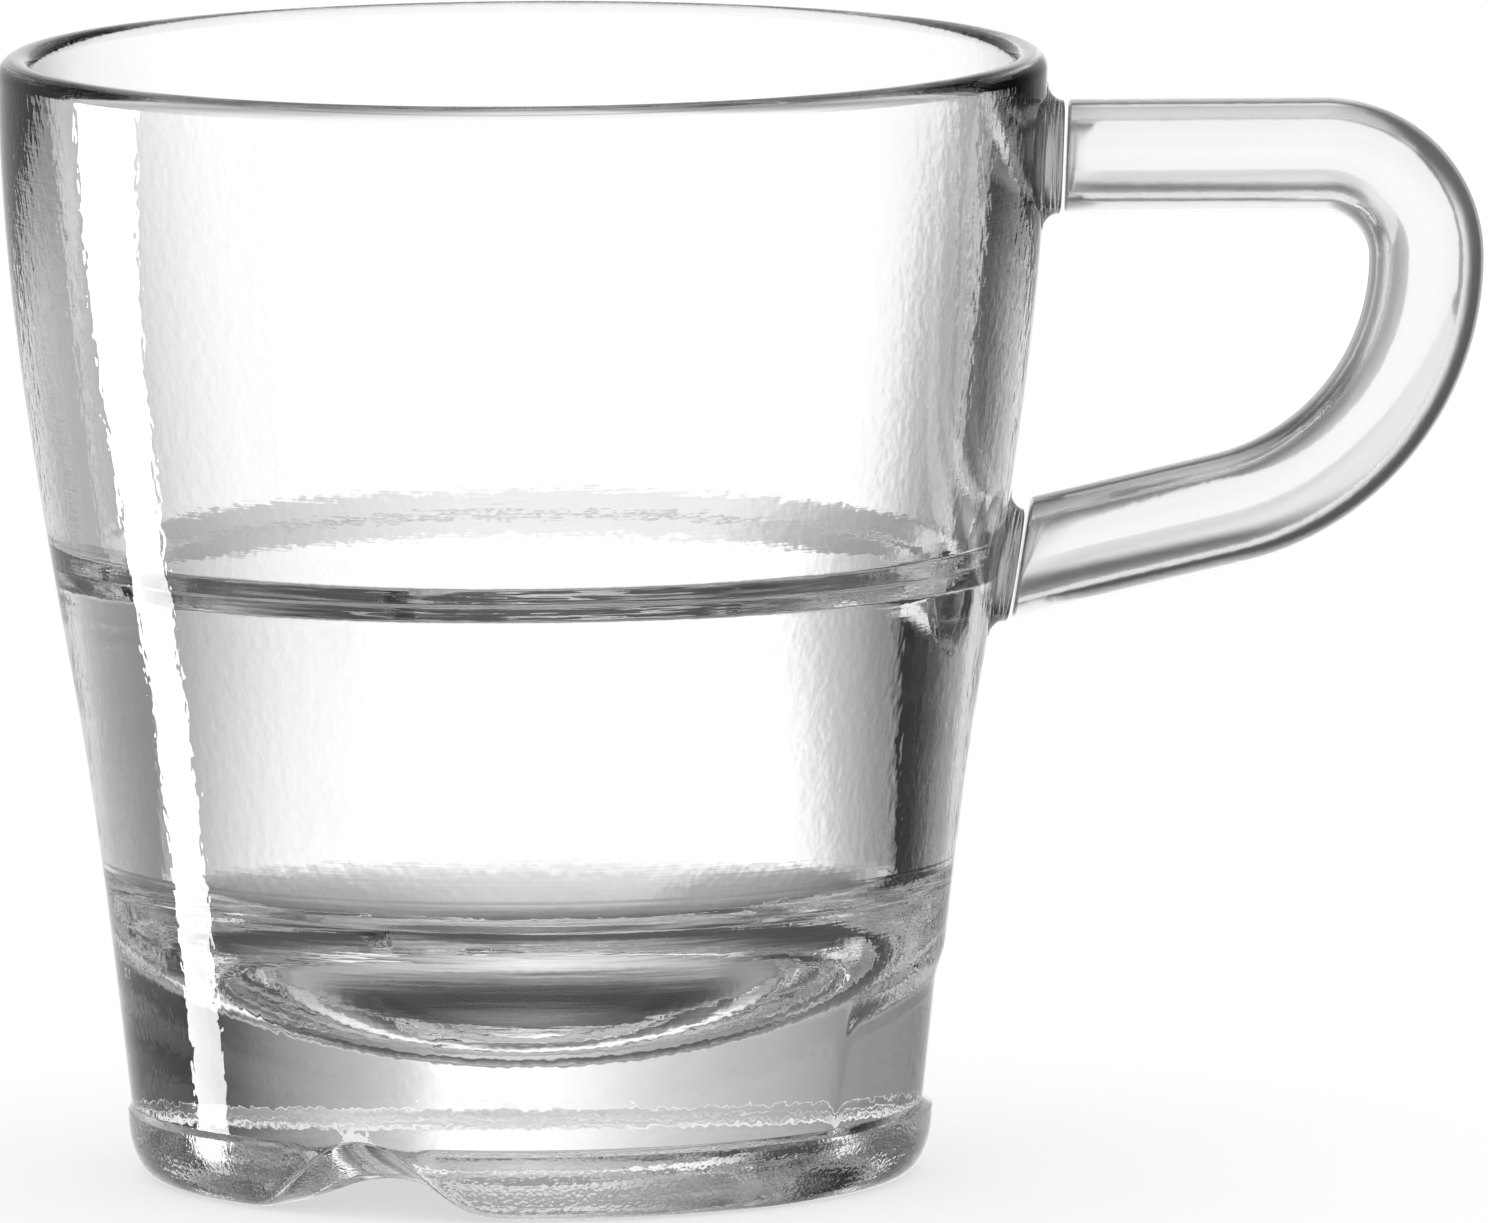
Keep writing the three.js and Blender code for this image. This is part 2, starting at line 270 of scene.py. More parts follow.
def rounded(points, reach):
    """The middle corners of a line of points, each eased over a short reach to both sides."""
    eased = []
    for before, corner, after in zip(points, points[1:], points[2:]):
        middle = Vector(corner)
        start = middle + (Vector(before) - middle).normalized() * reach
        end = middle + (Vector(after) - middle).normalized() * reach
        for i in range(CORNER_STEPS + 1):
            eased.append(tuple(bezier(start, middle, middle, end, i / CORNER_STEPS)))
    return eased


def wall_curve(height):
    """Control points of the half of the outer wall that holds this height."""
    waist = Vector((WAIST_RADIUS, WAIST_HEIGHT))
    lean = Vector((WAIST_LEAN, 1))
    if height < WAIST_HEIGHT:
        third = (WAIST_HEIGHT - WALL_BASE.y) / 3
        return WALL_BASE, WALL_BASE + Vector((BASE_LEAN, 1)) * third, waist - lean * third, waist
    third = (LIP_BASE - WAIST_HEIGHT) / 3
    rim = Vector((RIM_RADIUS, LIP_BASE))
    return waist, waist + lean * third, rim - Vector((0, third)), rim


def wall_at(height):
    """Radius and lean angle of the outer wall at a height."""
    curve = wall_curve(height)
    low, high = 0.0, 1.0
    for _ in range(HALVINGS):
        middle = (low + high) / 2
        if bezier(*curve, middle).y < height:
            low = middle
        else:
            high = middle
    step = 1e-4
    ahead = bezier(*curve, low + step) - bezier(*curve, low - step)
    return bezier(*curve, low).x, math.atan2(ahead.x, ahead.y)


def smooth_step(low, high, value):
    t = min(max((value - low) / (high - low), 0.0), 1.0)
    return t * t * (3 - 2 * t)


def soft_max(a, b, softness):
    """The larger of two heights, eased where they meet."""
    near = max(softness - abs(a - b), 0.0) / softness
    return max(a, b) + near * near * softness / 4


# Pieces


def add_piece(name, vertices, faces, node, material):
    """A smooth piece that takes the place of a solid."""
    mesh = bpy.data.meshes.new(name)
    mesh.from_pydata(vertices, [], faces)
    mesh.validate()
    mesh.shade_smooth()
    mesh.materials.append(material)
    piece = bpy.data.objects.new(name, mesh)
    bpy.context.scene.collection.objects.link(piece)
    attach(piece, "root")
    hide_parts(node)
    return piece


def tube_faces(rings, sides):
    """Quads between rings of vertices that follow each other."""
    faces = []
    for i in range(rings - 1):
        first, second = i * sides, (i + 1) * sides
        for j in range(sides):
            after = (j + 1) % sides
            faces.append((first + j, first + after, second + after, second + j))
    return faces


def mark(piece, attribute, values):
    """A number for each vertex, for the material to read."""
    layer = piece.data.attributes.new(attribute, "FLOAT", "POINT")
    layer.data.foreach_set("value", values)


# Cup body


def wall_heights():
    """Rings of the outer wall, closest over the foot ridge and fine up to the panel's top."""
    heights = [WALL_BASE.y, *(WALL_BASE.y + step for step in RIDGE_STEPS)]
    while heights[-1] < LIP_BASE - LINE_STEP:
        heights.append(heights[-1] + (FINE_STEP if heights[-1] < PANEL_TOP else LINE_STEP))
    return heights + [LIP_BASE]


def bowl():
    """Rounded corner at the foot of the well and the dished floor, down to the axis."""
    hub = FLOOR_HEIGHT + BOWL_RADIUS
    corner = FLOOR_RADIUS - FLOOR_ROUNDING
    drop = math.sqrt((BOWL_RADIUS - FLOOR_ROUNDING) ** 2 - corner**2)
    meet = -math.degrees(math.atan2(drop, corner))
    rounding = arc((corner, hub - drop), (FLOOR_ROUNDING, FLOOR_ROUNDING), 0, meet, FLOOR_CORNER_STEPS)
    return rounding + arc((0, hub), (BOWL_RADIUS, BOWL_RADIUS), meet, -90, BOWL_STEPS)[1:]


def underside():
    """Zones from the axis under the base to the top edge of the foot ring."""
    corner = HOLLOW_RADIUS - HOLLOW_ROUNDING
    hollow_radii = (HOLLOW_ROUNDING, HOLLOW_DEPTH - HOLLOW_EDGE)
    ring_edge = HOLLOW_RADIUS + HOLLOW_EDGE
    foot_radii = (FOOT_ROUNDING, FOOT_HEIGHT)
    return [
        ("hollow", line((0, HOLLOW_DEPTH), (corner, HOLLOW_DEPTH))),
        ("hollow", arc((corner, HOLLOW_EDGE), hollow_radii, 90, 0, HOLLOW_STEPS)),
        ("foot", arc((ring_edge, HOLLOW_EDGE), (HOLLOW_EDGE, HOLLOW_EDGE), 180, 270, EDGE_STEPS)),
        ("foot", line((ring_edge, 0), (FOOT_CONTACT_RADIUS, 0))),
        ("foot", arc((FOOT_CONTACT_RADIUS, FOOT_HEIGHT), foot_radii, -90, -1, FOOT_STEPS)),
        ("foot", [(FOOT_RADIUS, FOOT_HEIGHT)]),
    ]


def inside():
    """Zones from the lip down over the stacking ledge to the axis on the floor."""
    chamber_top = (RIM_RADIUS - 2 * LIP_RADIUS, LIP_BASE)
    chamber_base = (LEDGE_RADIUS, LEDGE_HEIGHT + LEDGE_UPPER_SLOPE)
    seat_outside = (LEDGE_RADIUS - LEDGE_UPPER_SLOPE, LEDGE_HEIGHT)
    seat_inside = (WELL_RADIUS + LEDGE_LOWER_SLOPE, LEDGE_HEIGHT)
    well_top = (WELL_RADIUS, LEDGE_HEIGHT - LEDGE_LOWER_SLOPE)
    floor = bowl()
    ledge = [chamber_top, chamber_base, seat_outside, seat_inside, well_top, floor[0]]
    return [
        ("inside", line(chamber_top, chamber_base)[:-1]),
        ("ledge", rounded(ledge, LEDGE_ROUNDING)),
        ("inside", line(well_top, floor[0])[1:]),
        ("floor", floor),
    ]


def body_rings():
    """Rings of the body as (zone, radius, height), from under the base to the floor, without the axis."""
    wall = [(wall_at(height)[0], height) for height in wall_heights()]
    lip = arc((RIM_RADIUS - LIP_RADIUS, LIP_BASE), (LIP_RADIUS, LIP_RADIUS), 0, 180, LIP_STEPS)
    outline = []
    for zone, points in [*underside(), ("wall", wall), ("lip", lip), *inside()]:
        last = outline[-1][1:] if outline else None
        fresh = [point for point in points if last is None or math.dist(point, last) > SAME_SPOT]
        outline += [(zone, *point) for point in fresh]
    return outline[1:-1]


def notch_rise(radius, angle):
    """Height of the notch ceiling over this spot, and how much of the foot pad is left there."""
    rise, pad = -NOTCH_EDGE, 1.0
    for centre in NOTCH_ANGLES:
        turn = math.remainder(angle - centre, math.tau)
        along = radius * math.sin(turn)
        if abs(turn) > NOTCH_SECTOR or abs(along) >= NOTCH_HALF_WIDTH:
            continue
        wave = 0.5 + 0.5 * math.cos(math.pi * along / NOTCH_HALF_WIDTH)
        draft = NOTCH_DRAFT * (FOOT_RADIUS - radius) / (FOOT_RADIUS - HOLLOW_RADIUS)
        rise = -NOTCH_EDGE + (NOTCH_HEIGHT + NOTCH_EDGE) * wave * (1 - draft)
        pad = smooth_step(PAD_GAP_HALF - PAD_EDGE, PAD_GAP_HALF, abs(along))
    if rise > HOLLOW_DEPTH:
        reach = smooth_step(HOLLOW_RADIUS - 2 * HOLLOW_ROUNDING, HOLLOW_RADIUS, radius)
        rise = HOLLOW_DEPTH + (rise - HOLLOW_DEPTH) * reach
    return rise, pad


def panel_depth(radius, height, angle):
    """How far the arched panel lies below the wall at this spot."""
    across = radius * math.sin(angle)
    if math.cos(angle) < 0 or abs(across) > PANEL_HALF_WIDTH or height > PANEL_TOP:
        return 0.0
    top = PANEL_TOP - (PANEL_TOP - PANEL_SIDE) * (across / PANEL_HALF_WIDTH) ** 2
    inside_top = smooth_step(0, 2 * PANEL_EDGE, top - height)
    inside_side = smooth_step(0, PANEL_EDGE, PANEL_HALF_WIDTH - abs(across))
    return PANEL_DEPTH * inside_top * inside_side


def body_point(zone, radius, height, angle):
    """A spot on the body, with the notches, the fading ridge and the panel worked in."""
    if zone in ("hollow", "foot", "wall") and height < 2 * FOOT_HEIGHT:
        rise, pad = notch_rise(radius, angle)
        if zone == "foot":
            front = smooth_step(-FRONT_FADE, FRONT_FADE, -math.sin(angle))
            pad *= BACK_RIDGE_SHARE + (1 - BACK_RIDGE_SHARE) * front
            radius -= FOOT_RIDGE * (1 - pad) * height / FOOT_HEIGHT
        height = soft_max(height, rise, NOTCH_EDGE)
    if zone == "wall":
        radius -= panel_depth(radius, height, angle)
    return Vector((AXIS_X + radius * math.cos(angle), radius * math.sin(angle), height))


def mark_zones(body, zones):
    """Where each kind of unevenness shows, and how strongly."""
    mark(body, "outer_wall", [float(zone == "wall") for zone in zones])
    mark(body, "inner_wall", [float(zone in ("inside", "floor")) for zone in zones])
    mark(body, "pressed_edge", [CHILL_SHARE.get(zone, 0.0) for zone in zones])
    mark(body, "foot_ring", [float(zone == "foot") for zone in zones])


def build_body(material):
    rings = body_rings()
    angles = [math.tau * j / CUP_SIDES for j in range(CUP_SIDES)]
    vertices = [body_point(*ring, angle) for ring in rings for angle in angles]
    faces = tube_faces(len(rings), CUP_SIDES)
    below, floor = len(vertices), len(vertices) + 1
    vertices += [Vector((AXIS_X, 0, HOLLOW_DEPTH)), Vector((AXIS_X, 0, FLOOR_HEIGHT))]
    last = (len(rings) - 1) * CUP_SIDES
    for j in range(CUP_SIDES):
        after = (j + 1) % CUP_SIDES
        faces.append((below, after, j))
        faces.append((floor, last + j, last + after))
    body = add_piece("cup_body_glass", vertices, faces, "cup_body", material)
    mark_zones(body, [zone for zone, _, _ in rings for _ in angles] + ["hollow", "floor"])


# Handle


def root_frame(height):
    """Matrix at the wall, with local Z along the outward normal."""
    radius, lean = wall_at(height)
    outward = Vector((math.cos(lean), 0, -math.sin(lean)))
    across = Vector((0, 1, 0))
    up = outward.cross(across)
    root = Matrix((across, up, outward)).transposed().to_4x4()
    root.translation = Vector((AXIS_X + radius, 0, height))
    return root


def bar_centres():
    """Centre points along the bar, from the upper root to the lower one."""
    outermost = AXIS_X + HANDLE_REACH - BAR_RADIUS
    bend_height = UPPER_BAR_HEIGHT - UPPER_BEND_RADIUS
    upper_start = AXIS_X + wall_at(UPPER_BAR_HEIGHT)[0]
    lower_end = AXIS_X + wall_at(LOWER_ROOT_HEIGHT)[0]
    rise = LOWER_LEG_RISE
    drop = (bend_height - LOWER_ROOT_HEIGHT) * math.cos(rise) - (outermost - lower_end) * math.sin(rise)
    lower_radius = drop / (1 - math.sin(rise))
    upper_hub = (outermost - UPPER_BEND_RADIUS, bend_height)
    lower_hub = (outermost - lower_radius, bend_height)
    points = line((upper_start, UPPER_BAR_HEIGHT), (upper_hub[0], UPPER_BAR_HEIGHT))
    points += arc(upper_hub, (UPPER_BEND_RADIUS, UPPER_BEND_RADIUS), 90, 0, UPPER_BEND_STEPS)[1:]
    points += arc(lower_hub, (lower_radius, lower_radius), 0, math.degrees(rise) - 90, LOWER_BEND_STEPS)[1:]
    points += line(points[-1], (lower_end, LOWER_ROOT_HEIGHT))[1:]
    return [Vector((x, 0, z)) for x, z in points]


def directions_along(centres):
    directions = []
    for i in range(len(centres)):
        before, after = centres[max(i - 1, 0)], centres[min(i + 1, len(centres) - 1)]
        directions.append((after - before).normalized())
    return directions


def bar_section(centre, direction, radius):
    """Ring round the bar, lower than its radius everywhere but on the two mould seams."""
    side = Vector((0, 1, 0))
    outer = direction.cross(side)
    ring = []
    for j in range(BAR_SIDES):
        angle = math.tau * j / BAR_SIDES
        on_seam = j % (BAR_SIDES // 2) == 0
        reach = radius - (0 if on_seam else MOULD_SEAM_HEIGHT)
        ring.append(centre + (outer * math.cos(angle) + side * math.sin(angle)) * reach)
    return ring


def end_rings(centre, direction, root, outward):
    """Rings that close one end of the bar: on the seam plane, with a small rounding."""
    to_root = root.inverted()
    slope = (to_root.to_3x3() @ outward).z
    rings = []
    for inwards, along in BAR_END_STEPS:
        ring = bar_section(centre, direction, BAR_RADIUS - inwards * BAR_END_ROUNDING)
        level = COLLAR_HEIGHT + SEAM_GAP + along * BAR_END_ROUNDING
        rings.append([p + outward * ((level - (to_root @ p).z) / slope) for p in ring])
    return rings


def build_bar(material):
    centres = bar_centres()
    directions = directions_along(centres)
    upper, lower = root_frame(UPPER_BAR_HEIGHT), root_frame(LOWER_ROOT_HEIGHT)
    rings = end_rings(centres[0], directions[0], upper, directions[0])
    for centre, direction in zip(centres, directions):
        nearest = min((root.inverted() @ centre).z for root in (upper, lower))
        if nearest > BAR_ROOT_LENGTH:
            rings.append(bar_section(centre, direction, BAR_RADIUS))
    rings += reversed(end_rings(centres[-1], directions[-1], lower, -directions[-1]))
    vertices = [p for ring in rings for p in ring]
    faces = tube_faces(len(rings), BAR_SIDES)
    last = (len(rings) - 1) * BAR_SIDES
    faces.append(tuple(reversed(range(BAR_SIDES))))
    faces.append(tuple(last + j for j in range(BAR_SIDES)))
    bar = add_piece("handle_bar_glass", vertices, faces, "handle_bar", material)
    mark(bar, "outer_wall", [1.0] * len(vertices))


def height_over_root(root, across, up):
    """Local height of the cup wall, plus a hair of clearance, beside a root."""
    height = 0.0
    for _ in range(SETTLING_ROUNDS):
        point = root @ Vector((across, up, height))
        away = math.hypot(point.x - AXIS_X, point.y)
        height -= away - wall_at(point.z)[0] - WALL_GAP
    return height


def collar_spoke(root, angle):
    """Points from the edge of the flat top, down the hollow flare and inwards along the wall."""
    spoke = Vector((math.cos(angle), math.sin(angle)))
    neck = COLLAR_HEIGHT - BAR_END_ROUNDING / 2
    foot = height_over_root(root, *(spoke * COLLAR_RADIUS))
    points = [(BAR_RADIUS - BAR_END_ROUNDING, COLLAR_HEIGHT), (BAR_RADIUS, neck)]
    for i in range(1, FLARE_STEPS + 1):
        t = math.pi / 2 * (1 - i / FLARE_STEPS)
        points.append((COLLAR_RADIUS - COLLAR_FLARE * math.sin(t), neck - (neck - foot) * math.cos(t)))
    for i in range(1, COLLAR_BASE_STEPS):
        reach = COLLAR_RADIUS * (1 - i / COLLAR_BASE_STEPS)
        points.append((reach, height_over_root(root, *(spoke * reach))))
    return [root @ Vector((*(spoke * reach), height)) for reach, height in points]


def build_collar(name, node, root, material):
    """A flared collar: flat towards the bar, with a base that follows the wall."""
    spokes = [collar_spoke(root, math.tau * j / BAR_SIDES) for j in range(BAR_SIDES)]
    rings = list(zip(*spokes))
    vertices = [p for ring in rings for p in ring]
    faces = [tuple(reversed(face)) for face in tube_faces(len(rings), BAR_SIDES)]
    last = (len(rings) - 1) * BAR_SIDES
    centre = len(vertices)
    vertices.append(root @ Vector((0, 0, height_over_root(root, 0, 0))))
    faces += [(centre, last + (j + 1) % BAR_SIDES, last + j) for j in range(BAR_SIDES)]
    faces.append(tuple(range(BAR_SIDES)))
    collar = add_piece(name, vertices, faces, node, material)
    mark(collar, "outer_wall", [1.0] * len(vertices))


# Shader nodes


def empty_tree(owner):
    owner.use_nodes = True
    owner.node_tree.nodes.clear()
    return owner.node_tree


def add_node(tree, kind, inputs=None, **settings):
    """A node with its settings and its inputs, each a plain value or the output of another node."""
    node = tree.nodes.new(kind)
    for name, value in settings.items():
        setattr(node, name, value)
    for key, value in (inputs or {}).items():
        if isinstance(value, bpy.types.NodeSocket):
            tree.links.new(value, node.inputs[key])
        else:
            node.inputs[key].default_value = value
    return node


def calculate(tree, operation, *values):
    """Result of a sum on plain numbers and outputs of nodes."""
    return add_node(tree, "ShaderNodeMath", dict(enumerate(values)), operation=operation).outputs["Value"]


def grey(value):
    return value, value, value, 1


def ramp(tree, source, stops, unit):
    """Brightness over a source, given as (value, brightness) stops; the values count in the unit given."""
    low, high = stops[0][0], stops[-1][0]
    limits = {"Value": source, "From Min": low * unit, "From Max": high * unit}
    place = add_node(tree, "ShaderNodeMapRange", limits)
    node = add_node(tree, "ShaderNodeValToRGB", {"Fac": place.outputs["Result"]})
    elements = node.color_ramp.elements
    while len(elements) < len(stops):
        elements.new(0.5)
    for element, (value, brightness) in zip(elements, stops):
        element.position = (value - low) / (high - low)
        element.color = grey(brightness)
    return node.outputs["Color"]


# Glass


def drawn_out_noise(tree, scale, stretch, detail):
    """Noise in object space, drawn out along one or more axes."""
    coords = add_node(tree, "ShaderNodeTexCoord").outputs["Object"]
    drawn_out = add_node(tree, "ShaderNodeMapping", {"Vector": coords, "Scale": stretch}).outputs["Vector"]
    shape = {"Vector": drawn_out, "Scale": scale, "Detail": detail, "Roughness": NOISE_ROUGHNESS}
    return add_node(tree, "ShaderNodeTexNoise", shape).outputs["Fac"]


def uneven_normal(tree):
    """Normal of the glass surface, with each kind of unevenness where its zone is marked."""
    relief = {}
    for zone, height, scale, stretch, detail in UNEVENNESS:
        mask = add_node(tree, "ShaderNodeAttribute", attribute_name=zone).outputs["Fac"]
        relief["Height"] = calculate(tree, "MULTIPLY", drawn_out_noise(tree, scale, stretch, detail), mask)
        relief["Distance"] = height
        relief["Strength"] = 1.0
        relief["Normal"] = add_node(tree, "ShaderNodeBump", relief).outputs["Normal"]
    return relief["Normal"]


def glass(name, absorption, painted_shade_grey=1.0, clearness=1.0, roughness=0.0):
    """Clear soda-lime glass with a faint colour in depth; a base colour below white is painted shade."""
    material = bpy.data.materials.new(name)
    tree = empty_tree(material)
    surface = {
        "Base Color": grey(painted_shade_grey),
        "IOR": GLASS_IOR,
        "Roughness": roughness,
        "Transmission Weight": clearness,
        "Normal": uneven_normal(tree),
    }
    shader = add_node(tree, "ShaderNodeBsdfPrincipled", surface)
    volume = add_node(tree, "ShaderNodeVolumeAbsorption", {"Color": GLASS_COLOUR, "Density": absorption})
    both = {"Surface": shader.outputs["BSDF"], "Volume": volume.outputs["Volume"]}
    add_node(tree, "ShaderNodeOutputMaterial", both)
    return material


# Light round the cup


def straight_through(tree, fewest, most):
    """1 for light that crossed so many glass surfaces, in whole numbers, and was thrown back by none."""
    path = add_node(tree, "ShaderNodeLightPath")
    turns = path.outputs["Ray Depth"]
    thrown_back = calculate(tree, "SUBTRACT", turns, path.outputs["Transmission Depth"])
    straight = calculate(tree, "LESS_THAN", thrown_back, 0.5)
    enough = calculate(tree, "GREATER_THAN", turns, fewest - 0.5)
    not_more = calculate(tree, "LESS_THAN", turns, most + 0.5)
    return calculate(tree, "MULTIPLY", straight, calculate(tree, "MULTIPLY", enough, not_more))


def side_light(tree, turn, clear):
    """Brightness sideways, without the dark sides where clear is 1."""
    shaded = ramp(tree, turn, SIDE_LIGHT, DEGREE)
    gain = calculate(tree, "SUBTRACT", ramp(tree, turn, CLEAR_SIDE_LIGHT, DEGREE), shaded)
    return calculate(tree, "MULTIPLY_ADD", clear, gain, shaded)


def light_in_glass(tree):
    """Brightness of the surroundings in each direction, as the glass sees them."""
    direction = add_node(tree, "ShaderNodeTexCoord").outputs["Generated"]
    split = add_node(tree, "ShaderNodeSeparateXYZ", {"Vector": direction})
    turn = calculate(tree, "ARCTAN2", split.outputs["X"], split.outputs["Y"])
    rise = calculate(tree, "ARCSINE", split.outputs["Z"])
    sides = side_light(tree, turn, straight_through(tree, TWO_WALLS, TWO_WALLS))
    around = calculate(tree, "MULTIPLY", sides, ramp(tree, rise, LEVEL_LIGHT, DEGREE))
    return calculate(tree, "ADD", around, ramp(tree, rise, OVERHEAD_LIGHT, DEGREE))


def studio_light():
    """White surroundings; in the glass they fall off to the sides, as round a lit panel behind the cup."""
    world = bpy.data.worlds.new("white_studio")
    tree = empty_tree(world)
    path = add_node(tree, "ShaderNodeLightPath")
    reflected, refracted = path.outputs["Is Glossy Ray"], path.outputs["Is Transmission Ray"]
    in_glass = calculate(tree, "MAXIMUM", reflected, refracted)
    plain = add_node(tree, "ShaderNodeBackground", {"Color": grey(1)})
    shaped = add_node(tree, "ShaderNodeBackground", {"Color": grey(1), "Strength": light_in_glass(tree)})
    choice = {"Fac": in_glass, 1: plain.outputs["Background"], 2: shaped.outputs["Background"]}
    chosen = add_node(tree, "ShaderNodeMixShader", choice)
    add_node(tree, "ShaderNodeOutputWorld", {"Surface": chosen.outputs["Shader"]})
    bpy.context.scene.world = world


def glow(tree, light):
    """A surface that gives off light, as the whole of a material."""
    emission = add_node(tree, "ShaderNodeEmission", light)
    add_node(tree, "ShaderNodeOutputMaterial", {"Surface": emission.outputs["Emission"]})


def spot_on_table(tree):
    """Distance of a spot from the cup's axis, and its angle from straight behind the cup."""
    position = add_node(tree, "ShaderNodeNewGeometry").outputs["Position"]
    ends = {0: position, 1: (AXIS_X, 0, 0)}
    from_axis = add_node(tree, "ShaderNodeVectorMath", ends, operation="SUBTRACT").outputs["Vector"]
    away = add_node(tree, "ShaderNodeVectorMath", {0: from_axis}, operation="LENGTH").outputs["Value"]
    split = add_node(tree, "ShaderNodeSeparateXYZ", {"Vector": from_axis})
    return away, calculate(tree, "ARCTAN2", split.outputs["X"], split.outputs["Y"])


def painted_light_table():
    """Glowing table with painted light and shade; away from the foot it is painted like the surroundings
    behind it.
    """
    material = bpy.data.materials.new("painted_light_table")
    tree = empty_tree(material)
    away, turn = spot_on_table(tree)
    clear_share = ramp(tree, away, CLEAR_TABLE_SHARE, MM)
    clear = calculate(tree, "MULTIPLY", straight_through(tree, ONE_WALL, TWO_WALLS), clear_share)
    one_wall = calculate(tree, "MULTIPLY", straight_through(tree, ONE_WALL, ONE_WALL), clear_share)
    side_share = ramp(tree, away, TABLE_SIDE_SHARE, MM)
    sides = calculate(tree, "POWER", side_light(tree, turn, clear), side_share)
    foot_share = ramp(tree, away, FOOT_SIDE_SHARE, MM)
    foot_sides = calculate(tree, "POWER", ramp(tree, turn, FOOT_SIDE_LIGHT, DEGREE), foot_share)
    both_sides = calculate(tree, "MULTIPLY", sides, foot_sides)
    shaded = calculate(tree, "MULTIPLY", ramp(tree, away, TABLE_LIGHT, MM), both_sides)
    depth_of_shade = calculate(tree, "MULTIPLY_ADD", one_wall, ONE_WALL_SHADE - 1, 1.0)
    glow(tree, {"Strength": calculate(tree, "POWER", shaded, depth_of_shade)})
    return material


def strip_light():
    """Upright lamp that fades out towards its lower end."""
    material = bpy.data.materials.new("strip_light")
    tree = empty_tree(material)
    position = add_node(tree, "ShaderNodeNewGeometry").outputs["Position"]
    height = add_node(tree, "ShaderNodeSeparateXYZ", {"Vector": position}).outputs["Z"]
    glow(tree, {"Color": ramp(tree, height, STRIP_FADE, MM), "Strength": STRIP_STRENGTH})
    return material


def card_light():
    """White to light that came straight through one wall or bar, and clear to all other light."""
    material = bpy.data.materials.new("white_card")
    tree = empty_tree(material)
    clear = add_node(tree, "ShaderNodeBsdfTransparent").outputs["BSDF"]
    white = add_node(tree, "ShaderNodeEmission", {"Strength": CARD_STRENGTH}).outputs["Emission"]
    choice = {"Fac": straight_through(tree, ONE_WALL, ONE_WALL), 1: clear, 2: white}
    chosen = add_node(tree, "ShaderNodeMixShader", choice)
    add_node(tree, "ShaderNodeOutputMaterial", {"Surface": chosen.outputs["Shader"]})
    return material


def floor_material():
    """Pale matt floor that reads white to the eye and keeps the cup's shadow."""
    material = bpy.data.materials.new("pale_floor")
    tree = empty_tree(material)
    matt = add_node(tree, "ShaderNodeBsdfDiffuse", {"Color": grey(FLOOR_GREY)}).outputs["BSDF"]
    seen = add_node(tree, "ShaderNodeLightPath").outputs["Is Camera Ray"]
    lift = add_node(tree, "ShaderNodeEmission", {"Strength": calculate(tree, "MULTIPLY", seen, FLOOR_LIFT)})
    both = add_node(tree, "ShaderNodeAddShader", {0: matt, 1: lift.outputs["Emission"]})
    add_node(tree, "ShaderNodeOutputMaterial", {"Surface": both.outputs["Shader"]})
    return material


# Stage


def stage_sheet(name, corners, material):
    mesh = bpy.data.meshes.new(name)
    mesh.from_pydata(corners, [], [(0, 1, 2, 3)])
    mesh.materials.append(material)
    sheet = bpy.data.objects.new(name, mesh)
    bpy.context.scene.collection.objects.link(sheet)
    return sheet


def show_in_glass_only(sheet):
    sheet.visible_camera = False
    sheet.visible_diffuse = False
    sheet.visible_shadow = False


def level_sheet(name, centre, half, material):
    corners = [(centre + half * i, half * j, FLOOR_LEVEL) for i, j in ((-1, -1), (1, -1), (1, 1), (-1, 1))]
    return stage_sheet(name, corners, material)


def round_the_cup(degrees, distance, height):
    """A spot at an angle from straight behind the cup, positive to the handle's side."""
    turn = math.radians(degrees)
    return AXIS_X + distance * math.sin(turn), distance * math.cos(turn), height


def build_floor():
    floor = level_sheet("floor", 0, FLOOR_REACH, floor_material())
    floor.visible_glossy = False
    floor.visible_transmission = False
    # Sheet under the floor that only the glass sees, glowing with the table's painted light and shade
    table = level_sheet("painted_light_table", AXIS_X, TABLE_REACH, painted_light_table())
    show_in_glass_only(table)
    table.visible_glossy = False


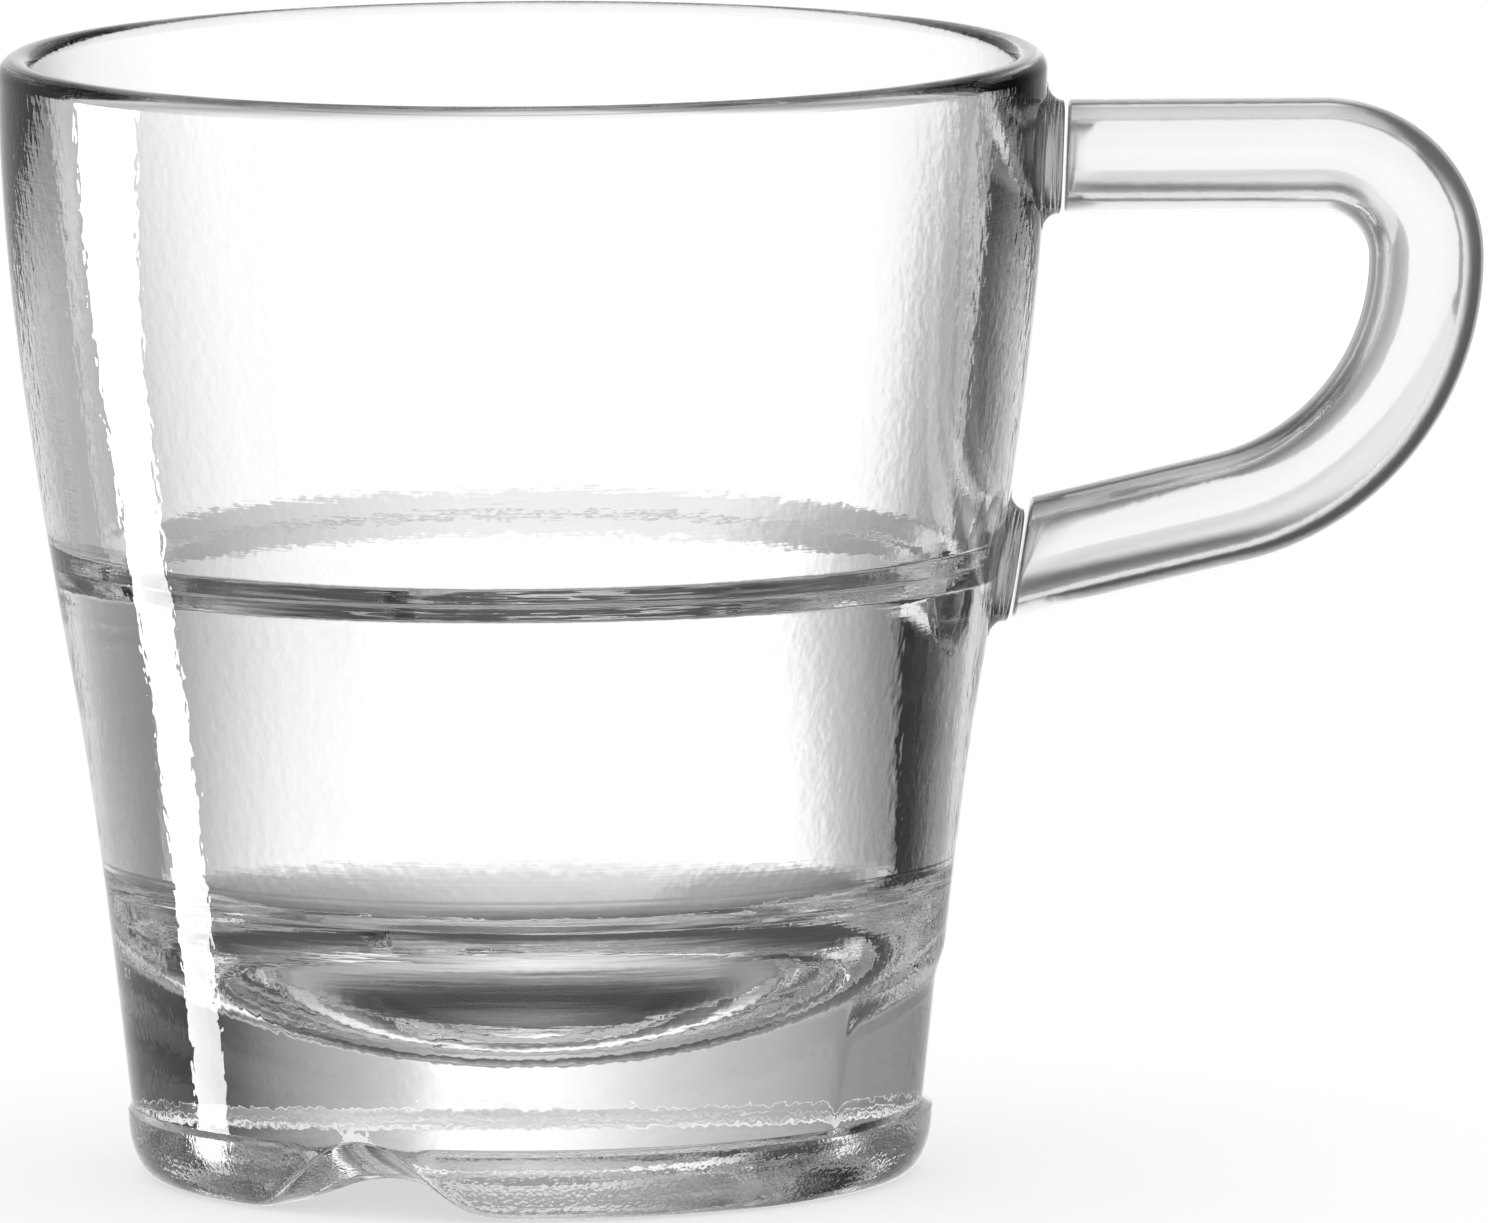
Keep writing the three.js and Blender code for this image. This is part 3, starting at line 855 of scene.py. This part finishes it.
def build_card():
    left, right = CARD_SIDES
    low, high = CARD_LEVELS
    outline = ((left, low), (right, low), (right, high), (left, high))
    card = stage_sheet("white_card", [(x, CARD_BEHIND, z) for x, z in outline], card_light())
    show_in_glass_only(card)
    card.visible_glossy = False


def build_strip():
    foot = [round_the_cup(degrees, STRIP_DISTANCE, STRIP_LOW) for degrees in STRIP_LOW_EDGES]
    head = [round_the_cup(degrees, STRIP_DISTANCE, STRIP_HIGH) for degrees in STRIP_HIGH_EDGES]
    strip = stage_sheet("strip_left", foot + head[::-1], strip_light())
    show_in_glass_only(strip)
    strip.visible_transmission = False


def build_camera():
    data = bpy.data.cameras.new("camera")
    data.sensor_width = SENSOR_WIDTH
    data.lens = SENSOR_WIDTH * CAMERA_DISTANCE / FRAME_WIDTH
    camera = bpy.data.objects.new("camera", data)
    bpy.context.scene.collection.objects.link(camera)
    back = Vector((0, -math.cos(CAMERA_RISE), math.sin(CAMERA_RISE)))
    place = Matrix.Translation(CAMERA_TARGET + back * CAMERA_DISTANCE)
    look = (-back).to_track_quat("-Z", "Y").to_matrix().to_4x4()
    camera.matrix_world = place @ look @ Matrix.Rotation(-CAMERA_ROLL, 4, "Z")
    bpy.context.scene.camera = camera


def set_up_rendering():
    scene = bpy.context.scene
    scene.view_settings.view_transform = "Standard"
    scene.cycles.max_bounces = MAX_BOUNCES
    scene.cycles.transmission_bounces = MAX_BOUNCES
    scene.cycles.glossy_bounces = GLOSSY_BOUNCES


cup_glass = glass("cup_glass", CUP_ABSORPTION)
# Collar glass with painted shade in its greyed base colour
collar_glass = glass("collar_glass", CUP_ABSORPTION, painted_shade_grey=COLLAR_PAINTED_SHADE_GREY)
handle_glass = glass(
    "handle_glass",
    HANDLE_ABSORPTION,
    clearness=HANDLE_CLEARNESS,
    roughness=HANDLE_ROUGHNESS,
)
build_body(cup_glass)
build_bar(handle_glass)
build_collar("upper_collar_glass", "upper_handle_collar", root_frame(UPPER_BAR_HEIGHT), collar_glass)
build_collar("lower_collar_glass", "lower_handle_collar", root_frame(LOWER_ROOT_HEIGHT), collar_glass)
build_floor()
studio_light()
build_card()
build_strip()
build_camera()
set_up_rendering()
